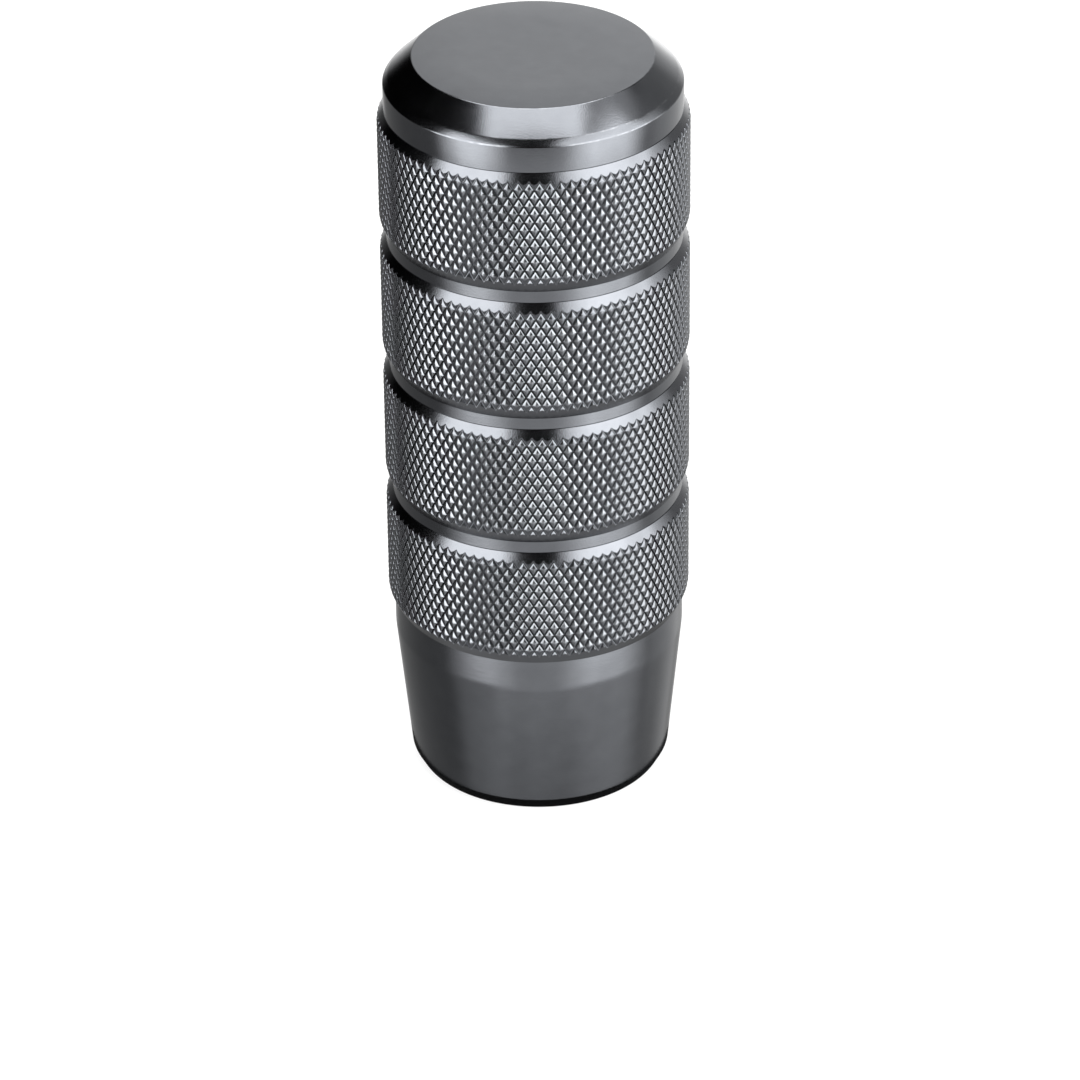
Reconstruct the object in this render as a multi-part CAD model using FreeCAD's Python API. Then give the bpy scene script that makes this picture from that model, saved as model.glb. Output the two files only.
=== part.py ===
import FreeCAD, Part
import math
import os

from FreeCAD import Vector

# Gear shift knob: one turned and knurled aluminium body with a threaded adapter in its foot.
# The knob stands on its foot. The origin is the middle of the foot face and +Z runs up the axis.

# Driving dimensions of the knob body, in millimetres and degrees
knurl_diameter = 35.0
plain_diameter = 33.5
cap_height = 6.25
top_bevel_width = 2.64
top_bevel_height = 2.43
top_edge_width = 0.6
top_edge_height = 0.68
band_count = 4
band_height = 14.6
band_upper_chamfer = 1.15
band_lower_chamfer = 1.6
groove_width = 1.45
skirt_straight_height = 3.7
skirt_taper_height = 16.3
taper_end_diameter = 30.25
foot_chamfer_height = 1.5
foot_diameter = 28.6

# Driving dimensions of the diamond knurl
knurl_count = 64
knurl_angle = 30.0
knurl_depth = 0.5

# Driving dimensions of the bore in the foot
adapter_thread_diameter = 16.0
adapter_thread_pitch = 1.5
bore_thread_depth = 24.0
bore_drill_depth = 34.0
drill_point_angle = 118.0
thread_clearance = 0.05
collar_clearance = 0.1
collar_recess = 0.3

# Driving dimensions of the threaded adapter
adapter_length = 19.5
collar_diameter = 16.0
collar_height = 3.4
relief_diameter = 14.0
relief_width = 1.0
adapter_end_diameter = 13.0
adapter_end_chamfer = 1.5
lever_thread_diameter = 10.0
lever_thread_pitch = 1.25
lever_mouth_chamfer = 0.75

# A fine thread is drawn plain. The two mating ones are at the pitch diameter, a tapped hole by
# itself is at its drill.
pitch_diameter_share = 0.6495

knurl_radius = knurl_diameter / 2
plain_radius = plain_diameter / 2
knurl_column_angle = math.pi / knurl_count
knurl_row_height = knurl_radius * knurl_column_angle / math.tan(math.radians(knurl_angle))

skirt_height = foot_chamfer_height + skirt_taper_height + skirt_straight_height
adapter_thread_radius = (adapter_thread_diameter - pitch_diameter_share * adapter_thread_pitch) / 2
bore_thread_radius = adapter_thread_radius + thread_clearance
bore_drill_radius = (adapter_thread_diameter - adapter_thread_pitch) / 2
counterbore_radius = collar_diameter / 2 + collar_clearance
counterbore_depth = collar_recess + collar_height
lever_hole_radius = (lever_thread_diameter - lever_thread_pitch) / 2


def turned(outline):
    """A solid of revolution about the Z axis, from (radius, height) points."""
    corners = [Vector(radius, 0, height) for radius, height in outline]
    profile = Part.Face(Part.makePolygon(corners + corners[:1]))
    return profile.revolve(Vector(0, 0, 0), Vector(0, 0, 1), 360)


def knurl_point(column, row):
    """A corner of the knurl: crests and valley crossings take turns around and along."""
    radius = knurl_radius if (column + row) % 2 else knurl_radius - knurl_depth
    angle = (column % (2 * knurl_count)) * knurl_column_angle
    return Vector(radius * math.cos(angle), radius * math.sin(angle), row * knurl_row_height)


def knurl_facets(column, row):
    """The two facets between four corners, which fold along the valley between the low two."""
    a = knurl_point(column, row)
    b = knurl_point(column + 1, row)
    c = knurl_point(column + 1, row + 1)
    d = knurl_point(column, row + 1)
    crest_first = (column + row) % 2
    corners = [(a, b, d), (b, c, d)] if crest_first else [(a, b, c), (a, c, d)]
    return [Part.Face(Part.makePolygon([p, q, r, p])) for p, q, r in corners]


def knurled_rod(height):
    """A rod with knurl all over, from one row below zero to at least one row past the height."""
    first_row = -1
    last_row = math.ceil(height / knurl_row_height) + 1
    faces = []
    for row in range(first_row, last_row):
        for column in range(2 * knurl_count):
            faces += knurl_facets(column, row)
    for row in (first_row, last_row):
        rim = [knurl_point(column, row) for column in range(2 * knurl_count + 1)]
        faces.append(Part.Face(Part.makePolygon(rim)))
    shell = Part.makeShell(faces)
    shell.sewShape()
    rod = Part.makeSolid(shell)
    if rod.Volume < 0:
        rod.reverse()
    return rod


def knurled_band():
    """One band, from its lower chamfer up, where both chamfers cut through the knurl's teeth."""
    rise = knurl_radius - plain_radius
    blank_radius = knurl_radius + rise
    blank = turned([
        (0, 0),
        (plain_radius, 0),
        (blank_radius, 2 * band_lower_chamfer),
        (blank_radius, band_height - 2 * band_upper_chamfer),
        (plain_radius, band_height),
        (0, band_height),
    ])
    return knurled_rod(band_height).common(blank)


def skirt():
    """The foot of the knob: chamfered edge, long taper and a short straight neck."""
    return turned([
        (0, 0),
        (foot_diameter / 2, 0),
        (taper_end_diameter / 2, foot_chamfer_height),
        (plain_radius, foot_chamfer_height + skirt_taper_height),
        (plain_radius, skirt_height),
        (0, skirt_height),
    ])


def cap():
    """The head of the knob, from the uppermost band to the flat top, with its two bevels."""
    edge_radius = plain_radius - top_edge_width
    shoulder = cap_height - top_bevel_height
    return turned([
        (0, 0),
        (plain_radius, 0),
        (plain_radius, shoulder - top_edge_height),
        (edge_radius, shoulder),
        (edge_radius - top_bevel_width, cap_height),
        (0, cap_height),
    ])


def foot_bore():
    """What is cut from the foot: counterbore, tapped length and drilled end with its point."""
    point_height = bore_drill_radius / math.tan(math.radians(drill_point_angle / 2))
    return turned([
        (0, 0),
        (counterbore_radius, 0),
        (counterbore_radius, counterbore_depth),
        (bore_thread_radius, counterbore_depth),
        (bore_thread_radius, bore_thread_depth),
        (bore_drill_radius, bore_thread_depth),
        (bore_drill_radius, bore_drill_depth),
        (0, bore_drill_depth + point_height),
    ])


def knob_body():
    """Skirt, knurled bands with plain grooves between them, and cap, stacked from the foot up."""
    band = knurled_band()
    stack = []
    height = skirt_height
    for number in range(band_count):
        if number:
            stack.append(Part.makeCylinder(plain_radius, groove_width, Vector(0, 0, height)))
            height += groove_width
        stack.append(band.translated(Vector(0, 0, height)))
        height += band_height
    stack.append(cap().translated(Vector(0, 0, height)))
    return skirt().multiFuse(stack).cut(foot_bore())


def thread_adapter():
    """The threaded bush in the foot: collar, thread relief, thread and the tapped hole through it."""
    thread_start = collar_height + relief_width
    thread_end = adapter_length - adapter_end_chamfer
    mouth_radius = lever_hole_radius + lever_mouth_chamfer
    bush = turned([
        (lever_hole_radius, lever_mouth_chamfer),
        (mouth_radius, 0),
        (collar_diameter / 2, 0),
        (collar_diameter / 2, collar_height),
        (relief_diameter / 2, collar_height),
        (relief_diameter / 2, thread_start),
        (adapter_thread_radius, thread_start),
        (adapter_thread_radius, thread_end),
        (adapter_end_diameter / 2, adapter_length),
        (mouth_radius, adapter_length),
        (lever_hole_radius, adapter_length - lever_mouth_chamfer),
    ])
    return bush.translated(Vector(0, 0, collar_recess))


os.makedirs("parts", exist_ok=True)
for name, piece in {"knob_body": knob_body(), "thread_adapter": thread_adapter()}.items():
    solid = piece.Solids[0]
    solid.exportStep(f"parts/{name}.step")
    print(name, "valid", solid.isValid(), "solids", len(piece.Solids), "volume", round(solid.Volume, 1))
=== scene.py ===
# %% [markdown]
# # A knurled gear shift knob
# The real knob is one bar of aluminium, turned on a lathe, knurled in four bands and anodised
# gunmetal grey. A black threaded adapter in its foot takes the gear lever. The script loads the
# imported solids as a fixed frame, and then makes a finer surface for each of the two pieces in
# the same place, with its finish, and a small studio round them.

# %% Load the frame
import math

import bmesh
import bpy
import numpy as np
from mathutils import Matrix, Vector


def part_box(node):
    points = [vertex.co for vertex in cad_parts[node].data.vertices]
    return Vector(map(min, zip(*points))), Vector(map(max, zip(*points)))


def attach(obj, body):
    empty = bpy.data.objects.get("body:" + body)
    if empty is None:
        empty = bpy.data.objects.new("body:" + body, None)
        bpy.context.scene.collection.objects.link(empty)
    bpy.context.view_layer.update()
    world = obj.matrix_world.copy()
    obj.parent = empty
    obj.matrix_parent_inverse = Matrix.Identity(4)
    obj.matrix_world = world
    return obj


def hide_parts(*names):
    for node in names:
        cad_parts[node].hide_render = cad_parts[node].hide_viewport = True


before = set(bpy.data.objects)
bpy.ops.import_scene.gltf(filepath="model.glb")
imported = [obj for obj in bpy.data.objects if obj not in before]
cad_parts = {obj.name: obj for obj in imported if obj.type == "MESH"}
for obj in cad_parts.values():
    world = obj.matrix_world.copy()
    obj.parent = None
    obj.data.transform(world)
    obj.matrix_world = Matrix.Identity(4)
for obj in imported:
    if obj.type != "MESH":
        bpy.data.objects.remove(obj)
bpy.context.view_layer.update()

print("pieces in the frame:", sorted(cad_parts))

# %% [markdown]
# ## Sizes
# Everything is in metres and starts at the foot, with Z up the axis. The height and the crest
# diameter come from the frame. The rest are the turned sizes of the knob, so they are written
# once here, the way they would stand on a workshop drawing.

# %% Sizes of the knob
MM = 0.001
teeth_round = 94
_, body_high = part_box("knob_body")
adapter_low, adapter_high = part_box("thread_adapter")

knob_height = body_high[2]
crest_radius = body_high[0]
plain_radius = 16.75 * MM
band_count = 4
band_height = 14.6 * MM
band_pitch = 16.05 * MM
band_upper_chamfer = 1.15 * MM
band_lower_chamfer = 1.6 * MM
first_band_height = 21.5 * MM

foot_radius = 14.3 * MM
foot_chamfer_height = 1.5 * MM
taper_end_radius = 15.125 * MM
taper_top_height = 17.8 * MM
top_face_radius = 13.51 * MM
top_bevel_radius = 16.15 * MM
top_bevel_height = 2.43 * MM
top_edge_height = 0.68 * MM

print(f"knob {1000 * knob_height:.1f} mm tall, {2000 * crest_radius:.1f} mm over the crests")

# %% [markdown]
# ## From points to a closed mesh
# Each part of a surface is worked out by itself as an array of points and an array of triangles
# that index them. Neighbouring parts share a ring of points in the same place. One function
# stacks the parts, merges what coincides by rounding to a hundredth of a micron, and drops the
# triangles that shrank to a line at a pole. What is left is one closed skin, so its normals can
# be turned outwards in one call. Its edges look sharp where two parts meet and where the faces
# turn by more than an angle.

# %% Mesh helpers
SMOOTH_ANGLE = math.radians(21)


def quads_to_triangles(quads):
    """Each four-cornered face a, b, c, d becomes the triangles a, b, c and a, c, d."""
    quads = np.asarray(quads).reshape(-1, 4)
    return np.concatenate([quads[:, [0, 1, 2]], quads[:, [0, 2, 3]]])


def stack(parts):
    """Joins (points, triangles) parts: each part's indices are raised by the points before it."""
    starts = np.cumsum([0] + [len(points) for points, _ in parts[:-1]])
    points = np.concatenate([points for points, _ in parts])
    triangles = np.concatenate([triangles + start for (_, triangles), start in zip(parts, starts)])
    part_numbers = np.repeat(np.arange(len(parts)), [len(triangles) for _, triangles in parts])
    return points, triangles, part_numbers


def edges_between_parts(mesh, part_numbers):
    """A mask of the edges whose faces belong to different parts."""
    corner_edges = np.empty(len(mesh.loops), dtype=np.int32)
    mesh.loops.foreach_get("edge_index", corner_edges)
    corner_parts = np.repeat(part_numbers, 3)
    lowest = np.full(len(mesh.edges), corner_parts.max())
    highest = np.zeros(len(mesh.edges), dtype=int)
    np.minimum.at(lowest, corner_edges, corner_parts)
    np.maximum.at(highest, corner_edges, corner_parts)
    return lowest != highest


def mark_sharp_edges(mesh, part_numbers):
    """Sharp marks on the edges that turn by more than the angle, and on all between parts."""
    mesh.set_sharp_from_angle(angle=SMOOTH_ANGLE)
    sharp = np.empty(len(mesh.edges), dtype=bool)
    mesh.edges.foreach_get("use_edge_sharp", sharp)
    mesh.edges.foreach_set("use_edge_sharp", sharp | edges_between_parts(mesh, part_numbers))


def closed_object(name, parts, merge=1e-8):
    """One closed mesh object from parts that meet in shared points, with its normals outwards."""
    points, triangles, part_numbers = stack(parts)
    _, first, inverse = np.unique(np.round(points / merge).astype(np.int64), axis=0,
                                  return_index=True, return_inverse=True)
    triangles = inverse.reshape(-1)[triangles]
    a, b, c = triangles.T
    whole = (a != b) & (b != c) & (c != a)
    used, triangles = np.unique(triangles[whole], return_inverse=True)
    points = points[first][used]
    mesh = bpy.data.meshes.new(name)
    mesh.from_pydata(points.tolist(), [], triangles.reshape(-1, 3).tolist())
    shell = bmesh.new()
    shell.from_mesh(mesh)
    bmesh.ops.recalc_face_normals(shell, faces=shell.faces)
    open_edges = sum(1 for edge in shell.edges if len(edge.link_faces) != 2)
    shell.to_mesh(mesh)
    shell.free()
    mesh.polygons.foreach_set("use_smooth", np.ones(len(mesh.polygons), dtype=bool))
    mark_sharp_edges(mesh, part_numbers[whole])
    piece = bpy.data.objects.new(name, mesh)
    bpy.context.scene.collection.objects.link(piece)
    print(f"{name}: {len(mesh.polygons)} triangles, {open_edges} open edges")
    return piece


# %% [markdown]
# ## Turned surfaces
# On a lathe every edge gets a tiny break, which is what catches the light on the real part. The
# outline lists corners as radius, height and the size of the break. The curve that replaces a
# corner C between its two tangent points A and B is (1-s)^2 A + 2s(1-s) C + s^2 B, a parabola
# that is close to an arc. The outline is then swept round the axis.

# %% Turned surfaces
COLUMNS = 2 * teeth_round
BREAK_STEPS = np.linspace(0, 1, 4)[:, None]


def broken_corner(before, corner, after, size):
    """Points that round a corner off, from one tangent point to the other, size from it."""
    start = corner + (before - corner) * (size / np.linalg.norm(before - corner))
    end = corner + (after - corner) * (size / np.linalg.norm(after - corner))
    s = BREAK_STEPS
    return (1 - s) ** 2 * start + 2 * s * (1 - s) * corner + s ** 2 * end


def outline(corners):
    """A polyline of (radius, height) from rows of radius, height and break size."""
    corners = np.asarray(corners, dtype=float)
    points = [corners[:1, :2]]
    for before, corner, after in zip(corners[:-2], corners[1:-1], corners[2:]):
        if corner[2] > 0:
            points.append(broken_corner(before[:2], corner[:2], after[:2], corner[2]))
        else:
            points.append(corner[None, :2])
    points.append(corners[-1:, :2])
    return np.concatenate(points)


def grid_triangles(rows, columns):
    """Triangles of a grid of rows by columns that closes on itself round the columns."""
    row, column = np.meshgrid(np.arange(rows - 1), np.arange(columns), indexing="ij")
    following = (column + 1) % columns
    a = row * columns + column
    b = row * columns + following
    c = (row + 1) * columns + following
    d = (row + 1) * columns + column
    return quads_to_triangles(np.stack([a, b, c, d], axis=-1))


def swept(radius, height, columns=COLUMNS):
    """Points r cos(q), r sin(q), z for arrays of r and z with a row for each ring."""
    angle = np.arange(columns) * (2 * math.pi / columns)
    radius = np.broadcast_to(radius, (len(radius), columns))
    height = np.broadcast_to(height, (len(height), columns))
    points = np.stack([radius * np.cos(angle), radius * np.sin(angle), height], axis=-1)
    return points.reshape(-1, 3), grid_triangles(len(radius), columns)


def turned(corners):
    """The outline's surface of revolution."""
    line = outline(corners)
    return swept(line[:, :1], line[:, 1:])


print("turned surfaces have", COLUMNS, "columns round the axis")

# %% [markdown]
# ## The diamond knurl
# Two sets of grooves, one winding left and one right, leave rows of small pointed pillows. With x
# counted in half pitches round and t in rows up, a tooth sits at every whole x and t whose sum
# is odd. Its surface depends only on the distance p = |x| + |t| from its crest, so a few rings of
# four points describe it. It falls slowly at first, faster further out, and ends in a steep wall
# down to a groove floor that is g wide each way. The ridges between the facets start sharp at
# the wall and fade out near the crest, as they do on the real knob. Such a mesh is both sharper
# and lighter than a fine height field.

# %% Knurl sizes
full_rows = 12
knurl_depth = 0.27 * MM
groove_floor = 0.08
ring_reach = np.array([1 - groove_floor, 0.78, 0.28])
ring_drop = np.array([knurl_depth, 0.14 * MM, 0.026 * MM])
chamfer_kept = 1 - knurl_depth / (crest_radius - plain_radius)
toothed_height = band_height - chamfer_kept * (band_lower_chamfer + band_upper_chamfer)
row_height = toothed_height / (full_rows + 1)
half_pitch_angle = math.pi / teeth_round
print(f"knurl pitch {2000 * half_pitch_angle * crest_radius:.2f} mm round, "
      f"{2000 * row_height:.2f} mm along")


def knurl_point(x, t, radius, bottom):
    """The point x half pitches round and t rows above the bottom row, at a radius."""
    x, t, radius = np.broadcast_arrays(x, t, radius)
    angle = x * half_pitch_angle
    return np.stack([radius * np.cos(angle), radius * np.sin(angle), bottom + t * row_height], axis=-1)


# %% [markdown]
# The points of all whole teeth go in one array, [row, tooth, point], so a face between
# neighbours is a shift of that array's indices. A tooth in an even row stands half a pitch
# further round than one in an odd row, which is why the shift to the row above depends on the
# row.

# %% Teeth of a band
EAST, NORTH, WEST, SOUTH = range(4)
CREST = 4 * len(ring_reach)
TOOTH_POINTS = CREST + 1
point_dx = np.append(np.outer(ring_reach, [1, 0, -1, 0]), 0)
point_dt = np.append(np.outer(ring_reach, [0, 1, 0, -1]), 0)
point_radius = np.append(np.repeat(crest_radius - ring_drop, 4), crest_radius)
rows = np.arange(full_rows)[:, None, None]
tooth_x = 2 * np.arange(teeth_round)[None, :, None] + 1 - rows % 2


def teeth_points(bottom):
    """All points of every whole tooth of a band whose first whole row is at the bottom height."""
    return knurl_point(tooth_x + point_dx, rows + point_dt, point_radius, bottom).reshape(-1, 3)


def tooth_index(row, shift, point):
    """Index of a point of the tooth that is shift places on, for every tooth of some rows."""
    tooth = (np.arange(teeth_round)[None, :] + shift) % teeth_round
    return (np.asarray(row)[:, None] * teeth_round + tooth) * TOOTH_POINTS + point


def facet_faces(where, first, second):
    """One facet of each tooth: a strip between each two rings and the triangle at the crest."""
    def faces(*points):
        return np.stack([tooth_index(where, 0, point) for point in points], axis=-1)

    strips = [faces(ring + first, ring + second, ring + 4 + second, ring + 4 + first)
              for ring in range(0, CREST - 4, 4)]
    tip = faces(CREST - 4 + first, CREST - 4 + second, CREST)
    return [quads_to_triangles(strip) for strip in strips] + [tip.reshape(-1, 3)]


def teeth_triangles():
    """Facets, groove floors and the small diamonds where two grooves cross."""
    every = np.arange(full_rows)
    first, lower, upper, inner, last = every[:1], every[:-1], every[1:], every[1:-1], every[-1:]
    east = (1 - lower % 2)[:, None]
    west = east - 1
    east_of_inner = (1 - inner % 2)[:, None]
    facets = (facet_faces(lower, EAST, NORTH) + facet_faces(lower, NORTH, WEST)
              + facet_faces(upper, WEST, SOUTH) + facet_faces(upper, SOUTH, EAST))
    floors = [
        np.stack([tooth_index(lower, 0, EAST), tooth_index(upper, east, SOUTH),
                  tooth_index(upper, east, WEST), tooth_index(lower, 0, NORTH)], axis=-1),
        np.stack([tooth_index(lower, 0, NORTH), tooth_index(upper, west, EAST),
                  tooth_index(upper, west, SOUTH), tooth_index(lower, 0, WEST)], axis=-1),
        np.stack([tooth_index(inner, 0, EAST), tooth_index(inner + 1, east_of_inner, SOUTH),
                  tooth_index(inner, 1, WEST), tooth_index(inner - 1, east_of_inner, NORTH)], axis=-1),
    ]
    half_diamonds = [
        np.stack([tooth_index(first, 0, EAST), tooth_index(first + 1, 1, SOUTH),
                  tooth_index(first, 1, WEST)], axis=-1),
        np.stack([tooth_index(last, 0, EAST), tooth_index(last, 1, WEST),
                  tooth_index(last - 1, (1 - last % 2)[:, None], NORTH)], axis=-1),
    ]
    return np.concatenate(facets + [quads_to_triangles(floor) for floor in floors]
                          + [half.reshape(-1, 3) for half in half_diamonds])


print("a band has", len(teeth_triangles()), "triangles of whole teeth")

# %% [markdown]
# ## Where a chamfer cuts the teeth
# The bar is chamfered at both ends of each band, so the last teeth are cut along a cone and
# leave the zigzag edge that shows on the real knob. Seen from the last whole row at t = 0, the
# cone is depth - fall (1 - t) below the crests, where fall is its drop per row. It reaches the
# groove floors at t = 1, in the middle of the row that it cuts. One pitch of the surface between
# is listed as flat polygons of x, t and drop. Each polygon is divided along the line where its
# drop equals the cone's. One side stays as it is and the other side moves down to the cone.

# %% Cut ends of a band
undercut_depth = 0.08 * MM
undercut_width = 0.14 * MM


def uncut_polygons():
    """One pitch, from x = 0 to 2, between whole teeth at t = 0 and the tooth at x = 1, t = 1."""
    reach = np.append(ring_reach, 0)
    drop = np.append(ring_drop, 0)
    zero = np.zeros(len(reach))
    east = np.stack([reach, zero, drop], axis=-1)
    north = np.stack([zero, reach, drop], axis=-1)
    west = np.stack([1 - reach, zero + 1, drop], axis=-1)
    south = np.stack([zero + 1, 1 - reach, drop], axis=-1)
    half = [np.array([a[k], b[k], b[k + 1], a[k + 1]])
            for a, b in ((east, north), (west, south)) for k in range(len(reach) - 1)]
    half.append(np.array([east[0], south[0], west[0], north[0]]))
    half.append(np.array([north[0], west[0], (0, 1, knurl_depth)]))
    other_half = [polygon * (-1, 1, 1) + (2, 0, 0) for polygon in half]
    diamond = np.array([east[0], east[0] * (-1, 1, 1) + (2, 0, 0), south[0]])
    return half + other_half + [diamond]


def clipped(polygon, height):
    """The part of a convex polygon with height >= 0, given the height at each corner."""
    kept = []
    for here, there, a, b in zip(polygon, np.roll(polygon, -1, axis=0), height, np.roll(height, -1)):
        if a >= 0:
            kept.append(here)
        if a * b < 0:
            kept.append(here + (there - here) * (a / (a - b)))
    return np.array(kept)


def outer_cone(end):
    """Triangles from the line t = 1 to the plain ring at t = end, with no drop yet."""
    line = [0, *(1 - ring_reach), 1]
    half = [[(a, 1), (b, 1), (0, end)] for a, b in zip(line[:-2], line[1:-1])]
    half += [[(line[-2], 1), (1, 1), (1, end)], [(line[-2], 1), (1, end), (0, end)]]
    half = [np.array([(x, t, 0) for x, t in triangle]) for triangle in half]
    return half + [triangle * (-1, 1, 1) + (2, 0, 0) for triangle in half]


def cut_end(row, side, chamfer, bottom):
    """Cut teeth and cone beyond the last whole row, on side +1 above or -1 below it."""
    fall = (crest_radius - plain_radius) * row_height / chamfer

    def cone_drop(polygon):
        return knurl_depth - fall * (1 - polygon[:, 1])

    teeth = []
    cone = outer_cone(1 + chamfer_kept * chamfer / row_height)
    for polygon in uncut_polygons():
        under_cone = np.round(polygon[:, 2] - cone_drop(polygon), 12)
        teeth.append(clipped(polygon, under_cone))
        cone.append(clipped(polygon, -under_cone))
    cone = [np.column_stack([polygon[:, :2], cone_drop(polygon)]) for polygon in cone if len(polygon) > 2]
    first_x = 2 * np.arange(teeth_round)[:, None] + 1 - row % 2

    def round_the_knob(polygons):
        x, t, drop = np.concatenate(polygons).T
        starts = np.cumsum([0] + [len(polygon) for polygon in polygons])
        fans = np.array([(start, start + k, start + k + 1) for polygon, start in zip(polygons, starts)
                         for k in range(1, len(polygon) - 1)])
        points = knurl_point(first_x + x, row + side * t, crest_radius - drop, bottom)
        triangles = fans + len(x) * np.arange(teeth_round)[:, None, None]
        return points.reshape(-1, 3), triangles.reshape(-1, 3)

    return round_the_knob([polygon for polygon in teeth if len(polygon) > 2]), round_the_knob(cone)


def undercut(start):
    """Corners of the fine ring that the tool leaves where a chamfer runs out at a height."""
    return [(plain_radius, start, 0),
            (plain_radius - undercut_depth, start + 0.2 * undercut_width, 0),
            (plain_radius - undercut_depth, start + 0.7 * undercut_width, 0),
            (plain_radius, start + undercut_width, 0)]


def knurled_band(low_end):
    """A whole band that starts from the plain cylinder at the low_end height."""
    bottom = low_end + chamfer_kept * band_lower_chamfer + row_height
    lower_teeth, lower_cone = cut_end(0, -1, band_lower_chamfer, bottom)
    upper_teeth, upper_cone = cut_end(full_rows - 1, 1, band_upper_chamfer, bottom)
    points, triangles, _ = stack([(teeth_points(bottom), teeth_triangles()), lower_teeth, upper_teeth])
    return [(points, triangles), lower_cone, upper_cone]


print(f"teeth rise {1000 * knurl_depth:.2f} mm, {full_rows} whole rows to a band")

# %% [markdown]
# ## Screw threads
# A thread's section is a triangle wave along the axis that moves on one pitch per turn, cut off
# flat at the crest and the root: radius = clip(major + H/8 - H * |2p - 1|), where p is the
# fraction of height / pitch - angle / full turn and H is 0.866 pitch. The same wave, a little
# wider, is the thread that it screws into, so the two mesh without touching.

# %% Threads
SHARP_V = 0.866


def thread_radius(height, pitch, major, minor, columns, gap=0.0):
    """Radius of a thread on a grid with a row for each height, gap wider for the outer thread."""
    angle = np.arange(columns) / columns
    phase = (height[:, None] / pitch - angle) % 1.0
    sharp = SHARP_V * pitch
    wave = major + sharp / 8 - sharp * np.abs(2 * phase - 1)
    return np.clip(wave, minor, major) + gap


def thread_heights(start, end, pitch, rows_per_turn):
    """Evenly spaced heights from start to end, about so many to each turn of the thread."""
    count = int(round((end - start) / pitch * rows_per_turn)) + 1
    return np.linspace(start, end, count)


seat_pitch = 1.5 * MM
seat_major = 8.0 * MM
seat_minor = seat_major - 0.6134 * seat_pitch
seat_gap = 0.06 * MM
print(f"seat thread {2000 * seat_major:.0f} mm, pitch {1000 * seat_pitch:.1f} mm")

# %% [markdown]
# ## The knob body
# The skin runs from the point of the drilled hole, down the bore and out over the foot, up the
# taper, through the bands and grooves, and over the bevels to the middle of the top face. It is
# made as a list of parts from the inside out, and every part starts on the ring where the last
# one ended.

# %% Sizes of the bore
collar_recess = adapter_low[2]
collar_height = 3.4 * MM
counterbore_radius = 8.1 * MM
counterbore_depth = collar_recess + collar_height
bore_thread_end = 24.0 * MM
drill_radius = 7.25 * MM
drill_end = 34.0 * MM
drill_tip = drill_end + drill_radius / math.tan(math.radians(59))
edge_break = 0.12 * MM
fine_break = 0.06 * MM
mouth_break = 0.25 * MM
print(f"bore {1000 * drill_tip:.1f} mm deep to the point of the drill")


# %% Build the knob body
def bore_parts():
    """The drilled end, the tapped length and the counterbore, from the point down to the mouth."""
    heights = thread_heights(bore_thread_end, counterbore_depth, seat_pitch, -5)
    thread = thread_radius(heights, seat_pitch, seat_major, drill_radius, COLUMNS, seat_gap)
    thread[0] = drill_radius
    thread[-1] = counterbore_radius
    tapped = swept(thread, heights[:, None])
    drilled = turned([(0, drill_tip, 0), (drill_radius, drill_end, 0), (drill_radius, bore_thread_end, 0)])
    mouth = turned([
        (counterbore_radius, counterbore_depth, 0),
        (counterbore_radius, mouth_break, 0),
        (counterbore_radius + mouth_break, 0, fine_break),
        (0.5 * (counterbore_radius + foot_radius), 0, 0),
    ])
    return [drilled, tapped, mouth]


def skirt_parts():
    """Foot face, foot chamfer, long taper and short plain neck, up to the first band."""
    return [turned([
        (0.5 * (counterbore_radius + foot_radius), 0, 0),
        (foot_radius, 0, 2 * edge_break),
        (taper_end_radius, foot_chamfer_height, edge_break),
        (plain_radius, taper_top_height, 4 * edge_break),
        (plain_radius, first_band_height, 0),
    ])]


def cap_parts(start):
    """Short plain cylinder, narrow bevel, wide bevel and the flat top out to its middle."""
    shoulder = knob_height - top_bevel_height
    return [turned(undercut(start) + [
        (plain_radius, shoulder - top_edge_height, edge_break),
        (top_bevel_radius, shoulder, edge_break),
        (top_face_radius, knob_height, edge_break),
        (0.6 * top_face_radius, knob_height, 0),
        (0, knob_height, 0),
    ])]


body_parts = bore_parts() + skirt_parts()
for number in range(band_count):
    low_end = first_band_height + number * band_pitch
    body_parts += knurled_band(low_end)
    if number < band_count - 1:
        body_parts.append(turned(undercut(low_end + band_height)
                                 + [(plain_radius, low_end + band_pitch, 0)]))
    else:
        body_parts += cap_parts(low_end + band_height)
knob = closed_object("knurled_knob", body_parts)

# %% [markdown]
# ## The threaded adapter
# The adapter is a bush with a plain collar, a relief where the threading tool runs out, a thread
# outside and a tapped hole for the lever. Inside and outside are one closed loop of rings, so
# the section is a list of rings that ends where it began.

# %% Build the adapter
ADAPTER_COLUMNS = 128
adapter_length = adapter_high[2] - adapter_low[2]
relief_radius = 7.0 * MM
relief_width = 1.0 * MM
end_radius = 6.5 * MM
end_chamfer = 1.5 * MM
lever_pitch = 1.25 * MM
lever_major = 5.0 * MM
lever_minor = 4.375 * MM
lever_mouth = 0.75 * MM


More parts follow.
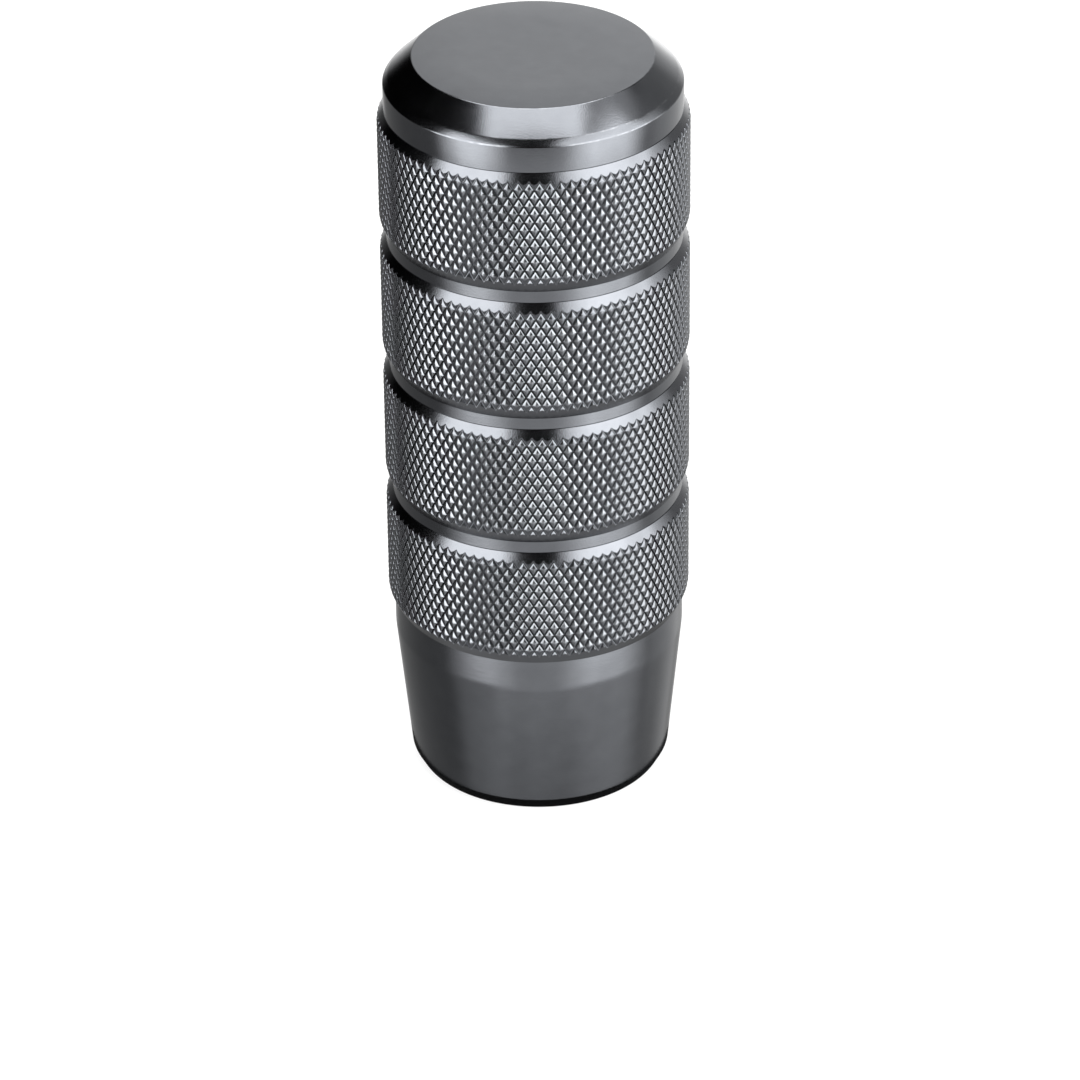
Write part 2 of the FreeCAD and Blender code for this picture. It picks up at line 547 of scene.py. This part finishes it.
def adapter_outside():
    """Rings from the outer mouth over the collar, relief and thread to the inner mouth."""
    lower = outline([
        (lever_minor + lever_mouth, 0, 0),
        (seat_major, 0, edge_break),
        (seat_major, collar_height, fine_break),
        (relief_radius, collar_height, 0),
        (relief_radius, collar_height + relief_width, 0),
    ])
    heights = thread_heights(collar_height + relief_width, adapter_length, seat_pitch, 10)
    lead_in = relief_radius + (heights - heights[0])
    lead_out = end_radius + (adapter_length - heights) * (seat_major - end_radius) / end_chamfer
    thread = thread_radius(heights + collar_recess, seat_pitch, seat_major, seat_minor, ADAPTER_COLUMNS)
    thread = np.minimum(thread, np.minimum(lead_in, lead_out)[:, None])
    plain = np.broadcast_to(lower[:, :1], (len(lower), ADAPTER_COLUMNS))
    return np.concatenate([plain, thread]), np.concatenate([lower[:, 1], heights])


def adapter_inside():
    """Rings down through the tapped hole, with a countersink at each end."""
    heights = thread_heights(adapter_length, 0.0, lever_pitch, -10)
    from_end = np.minimum(heights, adapter_length - heights)
    countersink = lever_minor + lever_mouth - from_end
    thread = thread_radius(heights, lever_pitch, lever_major, lever_minor, ADAPTER_COLUMNS)
    return np.maximum(thread, countersink[:, None]), heights


outer_radius, outer_height = adapter_outside()
inner_radius, inner_height = adapter_inside()
ring_radius = np.concatenate([outer_radius, inner_radius])
ring_height = np.concatenate([outer_height, inner_height]) + adapter_low[2]
adapter = closed_object("lever_adapter", [swept(ring_radius, ring_height[:, None], ADAPTER_COLUMNS)])

# %% [markdown]
# ## How the pieces belong to the frame
# The row has no joints, so both pieces ride on the one body. Each stands for one solid of the
# frame, which is then hidden.

# %% Attach the pieces
for piece, node, finish in [(knob, "knob_body", "grey_aluminium"),
                            (adapter, "thread_adapter", "black_aluminium")]:
    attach(piece, "root")
    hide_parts(node)
    print(piece.name, "stands for", node)

# %% [markdown]
# ## Shared finish effects
# The finishes are built from a few effects, and each effect is a node group with its own inputs.
# A blasted grain is fine noise. Turning lines are the faint rings that the tool leaves: noise
# that changes quickly along the axis and across the top face, and hardly at all round it. An
# edge ring is a mask that is 1 on a turned edge of a given radius and height, and fades out over
# a short distance. Noise breaks it up, as real wear is. Knurl zones tell the facets of the teeth,
# which get a painted highlight, from the grooves between them, which get a painted shade, by the
# distance from the axis.

# %% Node helpers


def node_group(name, inputs, outputs):
    """A new shader group with float or vector sockets, and its input and output nodes."""
    group = bpy.data.node_groups.new(name, "ShaderNodeTree")
    for label, kind in inputs:
        group.interface.new_socket(label, in_out="INPUT", socket_type=f"NodeSocket{kind}")
    for label in outputs:
        group.interface.new_socket(label, in_out="OUTPUT", socket_type="NodeSocketFloat")
    return group, group.nodes.new("NodeGroupInput"), group.nodes.new("NodeGroupOutput")


def connect(tree, value, socket):
    """Puts a number or another node's output into an input socket."""
    if isinstance(value, bpy.types.NodeSocket):
        tree.links.new(value, socket)
    else:
        socket.default_value = value


def math_node(tree, operation, *values, clamp=False):
    """A math node whose inputs are numbers or sockets; returns its output socket."""
    node = tree.nodes.new("ShaderNodeMath")
    node.operation = operation
    node.use_clamp = clamp
    for socket, value in zip(node.inputs, values):
        connect(tree, value, socket)
    return node.outputs[0]


def noise_node(tree, vector, scale, detail=2.0):
    """A noise texture on a vector socket; returns its value socket."""
    node = tree.nodes.new("ShaderNodeTexNoise")
    node.inputs["Detail"].default_value = detail
    connect(tree, scale, node.inputs["Scale"])
    connect(tree, vector, node.inputs["Vector"])
    return node.outputs[0]


def components(tree, vector):
    """The three parts of a vector socket."""
    split = tree.nodes.new("ShaderNodeSeparateXYZ")
    tree.links.new(vector, split.inputs[0])
    return split.outputs


def radius_and_height(tree, vector):
    """Sockets for the distance from the Z axis and the height of a vector."""
    x, y, z = components(tree, vector)
    squares = math_node(tree, "MULTIPLY_ADD", x, x, math_node(tree, "MULTIPLY", y, y))
    return math_node(tree, "SQRT", squares), z


# %% Grain, turning lines, edges and knurl zones
BAND_END_FADE = 0.3 * MM
WALL_FADE = 0.04 * MM


def make_blasted_grain():
    """Height of a fine blasted skin, and the slow change of tone from the dye."""
    group, source, sink = node_group("blasted_grain", [("Vector", "Vector"), ("Scale", "Float")],
                                     ["Height", "Tone"])
    fine = noise_node(group, source.outputs["Vector"], source.outputs["Scale"])
    tone_scale = math_node(group, "MULTIPLY", source.outputs["Scale"], 0.08)
    tone = noise_node(group, source.outputs["Vector"], tone_scale, 4.0)
    group.links.new(fine, sink.inputs["Height"])
    group.links.new(tone, sink.inputs["Tone"])
    return group


def make_turning_lines():
    """Rings round the axis: noise of radius and height alone, with a little of the angle."""
    group, source, sink = node_group("turning_lines", [("Vector", "Vector"), ("Scale", "Float")],
                                     ["Height"])
    radius, height = radius_and_height(group, source.outputs["Vector"])
    x, y, _ = components(group, source.outputs["Vector"])
    along = group.nodes.new("ShaderNodeCombineXYZ")
    connect(group, math_node(group, "ADD", radius, height), along.inputs[0])
    connect(group, math_node(group, "MULTIPLY", x, 0.012), along.inputs[1])
    connect(group, math_node(group, "MULTIPLY", y, 0.012), along.inputs[2])
    lines = noise_node(group, along.outputs[0], source.outputs["Scale"], 3.0)
    group.links.new(lines, sink.inputs["Height"])
    return group


def make_edge_ring():
    """1 on the circle of that radius and height, falling to 0 at the width away from it."""
    group, source, sink = node_group(
        "edge_ring",
        [("Vector", "Vector"), ("Radius", "Float"), ("Height", "Float"), ("Width", "Float")], ["Ring"])
    radius, height = radius_and_height(group, source.outputs["Vector"])
    across = math_node(group, "SUBTRACT", radius, source.outputs["Radius"])
    up = math_node(group, "SUBTRACT", height, source.outputs["Height"])
    squares = math_node(group, "MULTIPLY_ADD", across, across, math_node(group, "MULTIPLY", up, up))
    distance = math_node(group, "DIVIDE", math_node(group, "SQRT", squares), source.outputs["Width"])
    group.links.new(math_node(group, "SUBTRACT", 1.0, distance, clamp=True), sink.inputs["Ring"])
    return group


def make_knurl_zones():
    """Masks of facets, above the Wall radius, and of grooves, below it, inside each band."""
    group, source, sink = node_group(
        "knurl_zones",
        [("Vector", "Vector"), ("Wall", "Float"), ("Floor", "Float"), ("Middle", "Float"),
         ("Pitch", "Float"), ("Half Height", "Float")], ["Facets", "Grooves"])
    value = source.outputs
    radius, height = radius_and_height(group, value["Vector"])
    bands_up = math_node(group, "DIVIDE", math_node(group, "SUBTRACT", height, value["Middle"]),
                         value["Pitch"])
    from_middle = math_node(group, "SUBTRACT", bands_up, math_node(group, "ROUND", bands_up))
    distance = math_node(group, "MULTIPLY", math_node(group, "ABSOLUTE", from_middle), value["Pitch"])
    spare = math_node(group, "SUBTRACT", value["Half Height"], distance)
    in_band = math_node(group, "DIVIDE", spare, BAND_END_FADE, clamp=True)
    above_wall = math_node(group, "SUBTRACT", radius, value["Wall"])
    facets = math_node(group, "DIVIDE", above_wall, WALL_FADE, clamp=True)
    grooves = math_node(group, "DIVIDE", above_wall, -WALL_FADE, clamp=True)
    above_floor = math_node(group, "GREATER_THAN", radius, value["Floor"])
    # The Facets mask lightens the base colour as a painted highlight, the Grooves mask darkens it as a
    # painted shade.
    group.links.new(math_node(group, "MULTIPLY", facets, in_band), sink.inputs["Facets"])
    in_groove = math_node(group, "MULTIPLY", grooves, above_floor)
    group.links.new(math_node(group, "MULTIPLY", in_groove, in_band), sink.inputs["Grooves"])
    return group


blasted_grain = make_blasted_grain()
turning_lines = make_turning_lines()
edge_ring = make_edge_ring()
knurl_zones = make_knurl_zones()
print("effect groups:", blasted_grain.name, turning_lines.name, edge_ring.name, knurl_zones.name)

# %% [markdown]
# ## Anodised aluminium
# Anodised metal is metal first: fully metallic, with the dye in its base colour. Its satin skin
# is about a sixth rough, and varies a little from place to place. Along the sharp turned edges
# the skin is thinner and worn brighter. The facets of the knurl get a lighter base colour, a
# painted highlight, and the grooves a darker one, a painted shade. The bump is only microns
# high, because the visible shape is all in the mesh.

# %% Metal finishes


def placed_group(tree, group, vector, **values):
    """A node group placed in a tree, on a vector, with values for its inputs; returns its outputs."""
    node = tree.nodes.new("ShaderNodeGroup")
    node.node_tree = group
    tree.links.new(vector, node.inputs["Vector"])
    for label, value in values.items():
        node.inputs[label].default_value = value
    return node.outputs


def mixed_colour(tree, factor, first, second):
    """A colour between two colours or colour sockets by a factor socket."""
    mix = tree.nodes.new("ShaderNodeMix")
    mix.data_type = "RGBA"
    tree.links.new(factor, mix.inputs["Factor"])
    for label, value in (("A", first), ("B", second)):
        socket = next(s for s in mix.inputs if s.name == label and s.type == "RGBA")
        connect(tree, value, socket)
    return next(s for s in mix.outputs if s.type == "RGBA")


GRAIN_SCALE = 6000.0
LINE_SCALE = 5200.0
PATCH_SCALE = 900.0
WORN_WIDTH = 0.16 * MM
# How deep under the crests the knurl facets get the painted highlight.
highlight_depth = 0.16 * MM
knurl_places = {
    "Wall": crest_radius - highlight_depth,
    "Floor": crest_radius - knurl_depth - 0.01 * MM,
    "Middle": first_band_height + chamfer_kept * band_lower_chamfer + 0.5 * toothed_height,
    "Pitch": band_pitch,
    "Half Height": 0.5 * toothed_height - 0.9 * row_height,
}


def anodised(name, tones, roughness, edges):
    """A metal from named tones and a roughness, with worn rings at (radius, height) edges."""
    material = bpy.data.materials.new(name)
    material.use_nodes = True
    tree = material.node_tree
    shader = tree.nodes["Principled BSDF"]
    shader.inputs["Metallic"].default_value = 1.0
    place = tree.nodes.new("ShaderNodeTexCoord").outputs["Object"]

    grain = placed_group(tree, blasted_grain, place, Scale=GRAIN_SCALE)
    lines = placed_group(tree, turning_lines, place, Scale=LINE_SCALE)
    rings = 0.0
    for radius, height in edges:
        ring = placed_group(tree, edge_ring, place, Radius=radius, Height=height, Width=WORN_WIDTH)
        rings = math_node(tree, "MAXIMUM", ring["Ring"], rings)
    patches = noise_node(tree, place, PATCH_SCALE, 3.0)
    broken = math_node(tree, "MULTIPLY_ADD", patches, 3.6, -1.6, clamp=True)
    wear = math_node(tree, "MULTIPLY", rings, broken)

    tone = mixed_colour(tree, grain["Tone"], tones["dark"], tones["light"])
    # Knurl facets get a lighter base colour, a painted highlight, and grooves a darker one, a painted
    # shade.
    if "painted_highlight" in tones:
        zones = placed_group(tree, knurl_zones, place, **knurl_places)
        tone = mixed_colour(tree, zones["Facets"], tone, tones["painted_highlight"])
        tone = mixed_colour(tree, zones["Grooves"], tone, tones["painted_shade"])
    tree.links.new(mixed_colour(tree, wear, tone, tones["worn"]), shader.inputs["Base Color"])
    streak = math_node(tree, "MULTIPLY_ADD", lines["Height"], 0.05, roughness - 0.045)
    patch = math_node(tree, "MULTIPLY_ADD", grain["Tone"], 0.04, streak)
    tree.links.new(patch, shader.inputs["Roughness"])

    relief = math_node(tree, "MULTIPLY_ADD", lines["Height"], 0.25, grain["Height"])
    bump = tree.nodes.new("ShaderNodeBump")
    bump.inputs["Strength"].default_value = 1.0
    bump.inputs["Distance"].default_value = 0.006 * MM
    tree.links.new(relief, bump.inputs["Height"])
    tree.links.new(bump.outputs["Normal"], shader.inputs["Normal"])
    print(f"{name}: roughness about {roughness}, {len(edges)} worn edges")
    return material


knob_edges = [
    (top_face_radius, knob_height),
    (top_bevel_radius, knob_height - top_bevel_height),
    (plain_radius, knob_height - top_bevel_height - top_edge_height),
    (taper_end_radius, foot_chamfer_height),
]
gunmetal_tones = {
    "dark": (0.094, 0.098, 0.106, 1.0),
    "light": (0.118, 0.123, 0.132, 1.0),
    "worn": (0.17, 0.175, 0.185, 1.0),
    # Lighter knurl facets: a painted highlight.
    "painted_highlight": (0.150, 0.156, 0.166, 1.0),
    # Darker knurl grooves: a painted shade.
    "painted_shade": (0.040, 0.042, 0.046, 1.0),
}
black_tones = {
    "dark": (0.018, 0.018, 0.020, 1.0),
    "light": (0.030, 0.030, 0.032, 1.0),
    "worn": (0.13, 0.13, 0.135, 1.0),
}
gunmetal = anodised("gunmetal_anodised", gunmetal_tones, 0.16, knob_edges)
black = anodised("black_anodised", black_tones, 0.30, [(seat_major, adapter_low[2])])
knob.data.materials.append(gunmetal)
adapter.data.materials.append(black)

# %% [markdown]
# ## The camera
# The photograph looks down on the knob from the front through a long lens. The camera stands
# where the ellipses of the top face, the grooves and the foot come out as they do there, and
# leans by a fraction of a degree, as the photographer's did.

# %% Camera
SENSOR = 36.0
IMAGE_SIZE = 1080
focal_pixels = 5603.0
camera_distance = 558.3 * MM
camera_above_top = 272.75 * MM
camera_side = 0.2 * MM
camera_tilt = math.radians(31.0)
camera_lean = math.radians(-0.625)

camera_data = bpy.data.cameras.new("camera")
camera_data.sensor_width = SENSOR
camera_data.lens = SENSOR * focal_pixels / IMAGE_SIZE
camera_data.clip_start = 0.01
camera = bpy.data.objects.new("camera", camera_data)
camera.location = (camera_side, -camera_distance, knob_height + camera_above_top)
camera.rotation_euler = (math.pi / 2 - camera_tilt, 0.0, 0.0)
camera.rotation_euler.rotate_axis("Z", camera_lean)
bpy.context.scene.collection.objects.link(camera)
bpy.context.scene.camera = camera
print(f"lens {camera_data.lens:.1f} mm, {1000 * camera_distance:.0f} mm in front")

# %% [markdown]
# ## The studio
# Satin metal shows what stands round it, so it is lit with large panels: a soft box at each
# side, one overhead and a white sweep behind. The dark gaps between them draw the dark bands
# on the metal. The panels could be lamps, but a panel as a function of direction has edges that
# fade, which lamps don't. A direction d meets a flat panel at u = d.side / d.forward and
# w = d.up / d.forward. The panel is full inside its limits in u and w, and fades over an edge.

# %% Soft panel group


def make_soft_panel():
    """The light of one flat panel in a direction, with straight edges that fade out evenly."""
    group, source, sink = node_group(
        "soft_panel",
        [("Vector", "Vector"), ("Forward", "Vector"), ("Side", "Vector"), ("Up", "Vector"),
         ("Left", "Float"), ("Right", "Float"), ("Low", "Float"), ("High", "Float"),
         ("Edge", "Float"), ("Strength", "Float")], ["Light"])
    value = source.outputs

    def along(axis):
        node = group.nodes.new("ShaderNodeVectorMath")
        node.operation = "DOT_PRODUCT"
        group.links.new(value["Vector"], node.inputs[0])
        group.links.new(value[axis], node.inputs[1])
        return node.outputs["Value"]

    def inside(place, low, high):
        above = math_node(group, "SUBTRACT", place, low)
        below = math_node(group, "SUBTRACT", high, place)
        nearest = math_node(group, "DIVIDE", math_node(group, "MINIMUM", above, below), value["Edge"])
        return math_node(group, "ADD", nearest, 0.5, clamp=True)

    ahead = math_node(group, "MAXIMUM", along("Forward"), 0.001)
    across = math_node(group, "DIVIDE", along("Side"), ahead)
    up = math_node(group, "DIVIDE", along("Up"), ahead)
    shape = math_node(group, "MULTIPLY", inside(across, value["Left"], value["Right"]),
                      inside(up, value["Low"], value["High"]))
    in_front = math_node(group, "GREATER_THAN", along("Forward"), 0.002)
    lit = math_node(group, "MULTIPLY", math_node(group, "MULTIPLY", shape, in_front), value["Strength"])
    group.links.new(lit, sink.inputs["Light"])
    return group


soft_panel = make_soft_panel()
print("panel inputs:", len(soft_panel.interface.items_tree) - 1)

# %% [markdown]
# Each panel is a row. First comes the direction that it faces the knob from: for an upright
# panel in degrees, with 0 at the front and positive to the right, and for a level one 1 above or
# -1 below. Then come its limits to the left, right, below and above as tangents from that
# direction, the width of its edge, and its strength, where 1 looks white. The sum of the rows,
# and an even light from the table below, is what the metal reflects.

# %% World
UPRIGHT_PANELS = {
    "left box": (-47, -0.55, 0.46, 0.25, 1.05, 0.25, 6.8),
    "left box, middle": (-50, -0.55, 0.55, -0.20, 0.25, 0.15, 6.8),
    "left box, lower end": (-45, -0.45, 0.30, -0.54, -0.20, 0.42, 5.7),
    "right box": (51, -0.58, 0.90, 0.25, 1.50, 0.30, 5.0),
    "right box, bright part": (53, -0.36, 0.40, 0.25, 0.85, 0.30, 2.6),
    "right box, middle": (57, -0.75, 0.65, -0.20, 0.25, 0.15, 6.4),
    "right box, far end": (96, -0.20, 0.20, -0.20, 0.65, 0.30, 2.1),
    "right box, lower end": (52, -0.34, 0.62, -0.56, -0.20, 0.45, 5.6),
    "front of the table": (0, -1.60, 1.10, -1.00, -0.38, 0.30, 0.75),
    "left of the table": (-50, -0.50, 0.50, -1.10, -0.66, 0.30, 0.4),
    "right of the table": (60, -0.90, 0.60, -1.10, -0.45, 0.40, 0.6),
    "sweep behind": (180, -0.50, 0.25, -0.50, 1.1, 0.50, 1.45),
    "right card": (122, -0.60, 0.60, -0.40, 0.80, 0.30, 0.5),
    "right card, low": (128, -0.50, 0.50, -0.80, -0.30, 0.30, 0.6),
}
LEVEL_PANELS = {
    "overhead box": (1, -0.50, 0.50, -0.60, 0.44, 0.12, 5.6),
    "overhead box, right end": (1, 0.46, 1.15, -0.50, 0.30, 0.30, 1.4),
    "table": (-1, -0.80, 3.0, -0.35, 3.0, 0.50, 0.40),
}
table_light = 0.26

world = bpy.data.worlds.new("studio")
bpy.context.scene.world = world
world.use_nodes = True
world_tree = world.node_tree
world_tree.nodes.clear()
direction = world_tree.nodes.new("ShaderNodeTexCoord").outputs["Generated"]


def add_panel(forward, side, up, limits):
    """Places one panel in the world; returns its light."""
    left, right, low, high, edge, strength = limits
    panel = placed_group(world_tree, soft_panel, direction, Forward=forward, Side=side,
                         Up=up, Left=left, Right=right, Low=low, High=high, Edge=edge,
                         Strength=strength)
    return panel["Light"]


height_of_view = components(world_tree, direction)[2]
below = math_node(world_tree, "MULTIPLY_ADD", height_of_view, -4.0, 0.1, clamp=True)
light = math_node(world_tree, "MULTIPLY", below, table_light)
for facing, *limits in UPRIGHT_PANELS.values():
    angle = math.radians(facing)
    forward = (math.sin(angle), -math.cos(angle), 0.0)
    side = (math.cos(angle), math.sin(angle), 0.0)
    light = math_node(world_tree, "ADD", light, add_panel(forward, side, (0.0, 0.0, 1.0), limits))
for facing, *limits in LEVEL_PANELS.values():
    panel = add_panel((0.0, 0.0, facing), (1.0, 0.0, 0.0), (0.0, -1.0, 0.0), limits)
    light = math_node(world_tree, "ADD", light, panel)

path = world_tree.nodes.new("ShaderNodeLightPath").outputs
seen_directly = math_node(world_tree, "MAXIMUM", path["Is Camera Ray"], path["Is Transmission Ray"])
white_or_panels = math_node(world_tree, "MAXIMUM", light, seen_directly)
background = world_tree.nodes.new("ShaderNodeBackground")
background.inputs["Color"].default_value = (1.0, 1.0, 1.0, 1.0)
world_tree.links.new(white_or_panels, background.inputs["Strength"])
world_output = world_tree.nodes.new("ShaderNodeOutputWorld")
world_tree.links.new(background.outputs[0], world_output.inputs["Surface"])
print("panels:", ", ".join([*UPRIGHT_PANELS, *LEVEL_PANELS]))

# %% [markdown]
# The table is a pale matt sheet. The camera sees most of its white directly and the rest by the
# light that reaches it, so it keeps a soft shadow under the knob. Reflections don't see it: the
# lower ends of the boxes show in the sides of the knob instead, as they do over a glass table.
# Only right under the foot, where the knob shades the table, a small dark disc takes its place.

# %% Table
camera_white = 0.8


def flat_stage(name, corners, material, **visible):
    """A flat stage piece from its corners, with ray visibility switches."""
    mesh = bpy.data.meshes.new(name)
    mesh.from_pydata([tuple(corner) for corner in corners], [], [tuple(range(len(corners)))])
    mesh.materials.append(material)
    piece = bpy.data.objects.new(name, mesh)
    for ray, shown in visible.items():
        setattr(piece, f"visible_{ray}", shown)
    bpy.context.scene.collection.objects.link(piece)
    return piece


def make_table_material():
    """White light of a fixed share for the camera, and a pale matt surface for the rest."""
    material = bpy.data.materials.new("pale_table")
    material.use_nodes = True
    tree = material.node_tree
    tree.nodes.clear()
    matt = tree.nodes.new("ShaderNodeBsdfDiffuse")
    matt.inputs["Color"].default_value = (0.86, 0.86, 0.86, 1.0)
    glow = tree.nodes.new("ShaderNodeEmission")
    glow.inputs["Color"].default_value = (1.0, 1.0, 1.0, 1.0)
    seen = tree.nodes.new("ShaderNodeLightPath").outputs["Is Camera Ray"]
    mix = tree.nodes.new("ShaderNodeMixShader")
    sink = tree.nodes.new("ShaderNodeOutputMaterial")
    tree.links.new(math_node(tree, "MULTIPLY", seen, camera_white), mix.inputs["Fac"])
    tree.links.new(matt.outputs[0], mix.inputs[1])
    tree.links.new(glow.outputs[0], mix.inputs[2])
    tree.links.new(mix.outputs[0], sink.inputs["Surface"])
    return material


def make_shade_material():
    """A nearly black matt surface."""
    material = bpy.data.materials.new("shade_under_foot")
    material.use_nodes = True
    tree = material.node_tree
    tree.nodes.clear()
    matt = tree.nodes.new("ShaderNodeBsdfDiffuse")
    matt.inputs["Color"].default_value = (0.02, 0.02, 0.02, 1.0)
    sink = tree.nodes.new("ShaderNodeOutputMaterial")
    tree.links.new(matt.outputs[0], sink.inputs["Surface"])
    return material


table_half = 6.0
table_corners = [(x * table_half, y * table_half, 0.0) for x, y in ((-1, -1), (1, -1), (1, 1), (-1, 1))]
flat_stage("table", table_corners, make_table_material(), glossy=False, shadow=False)

DISC_SIDES = 64
disc_angles = np.arange(DISC_SIDES) * (2 * math.pi / DISC_SIDES)
disc_radius = 1.15 * foot_radius
disc_height = -0.05 * MM
disc_corners = np.stack([disc_radius * np.cos(disc_angles), disc_radius * np.sin(disc_angles),
                         np.full(DISC_SIDES, disc_height)], axis=-1)
flat_stage("shade_under_foot", disc_corners.tolist(), make_shade_material(), camera=False,
           diffuse=False, shadow=False, transmission=False)
bpy.context.scene.view_settings.view_transform = "Standard"
print("table and shade are set")
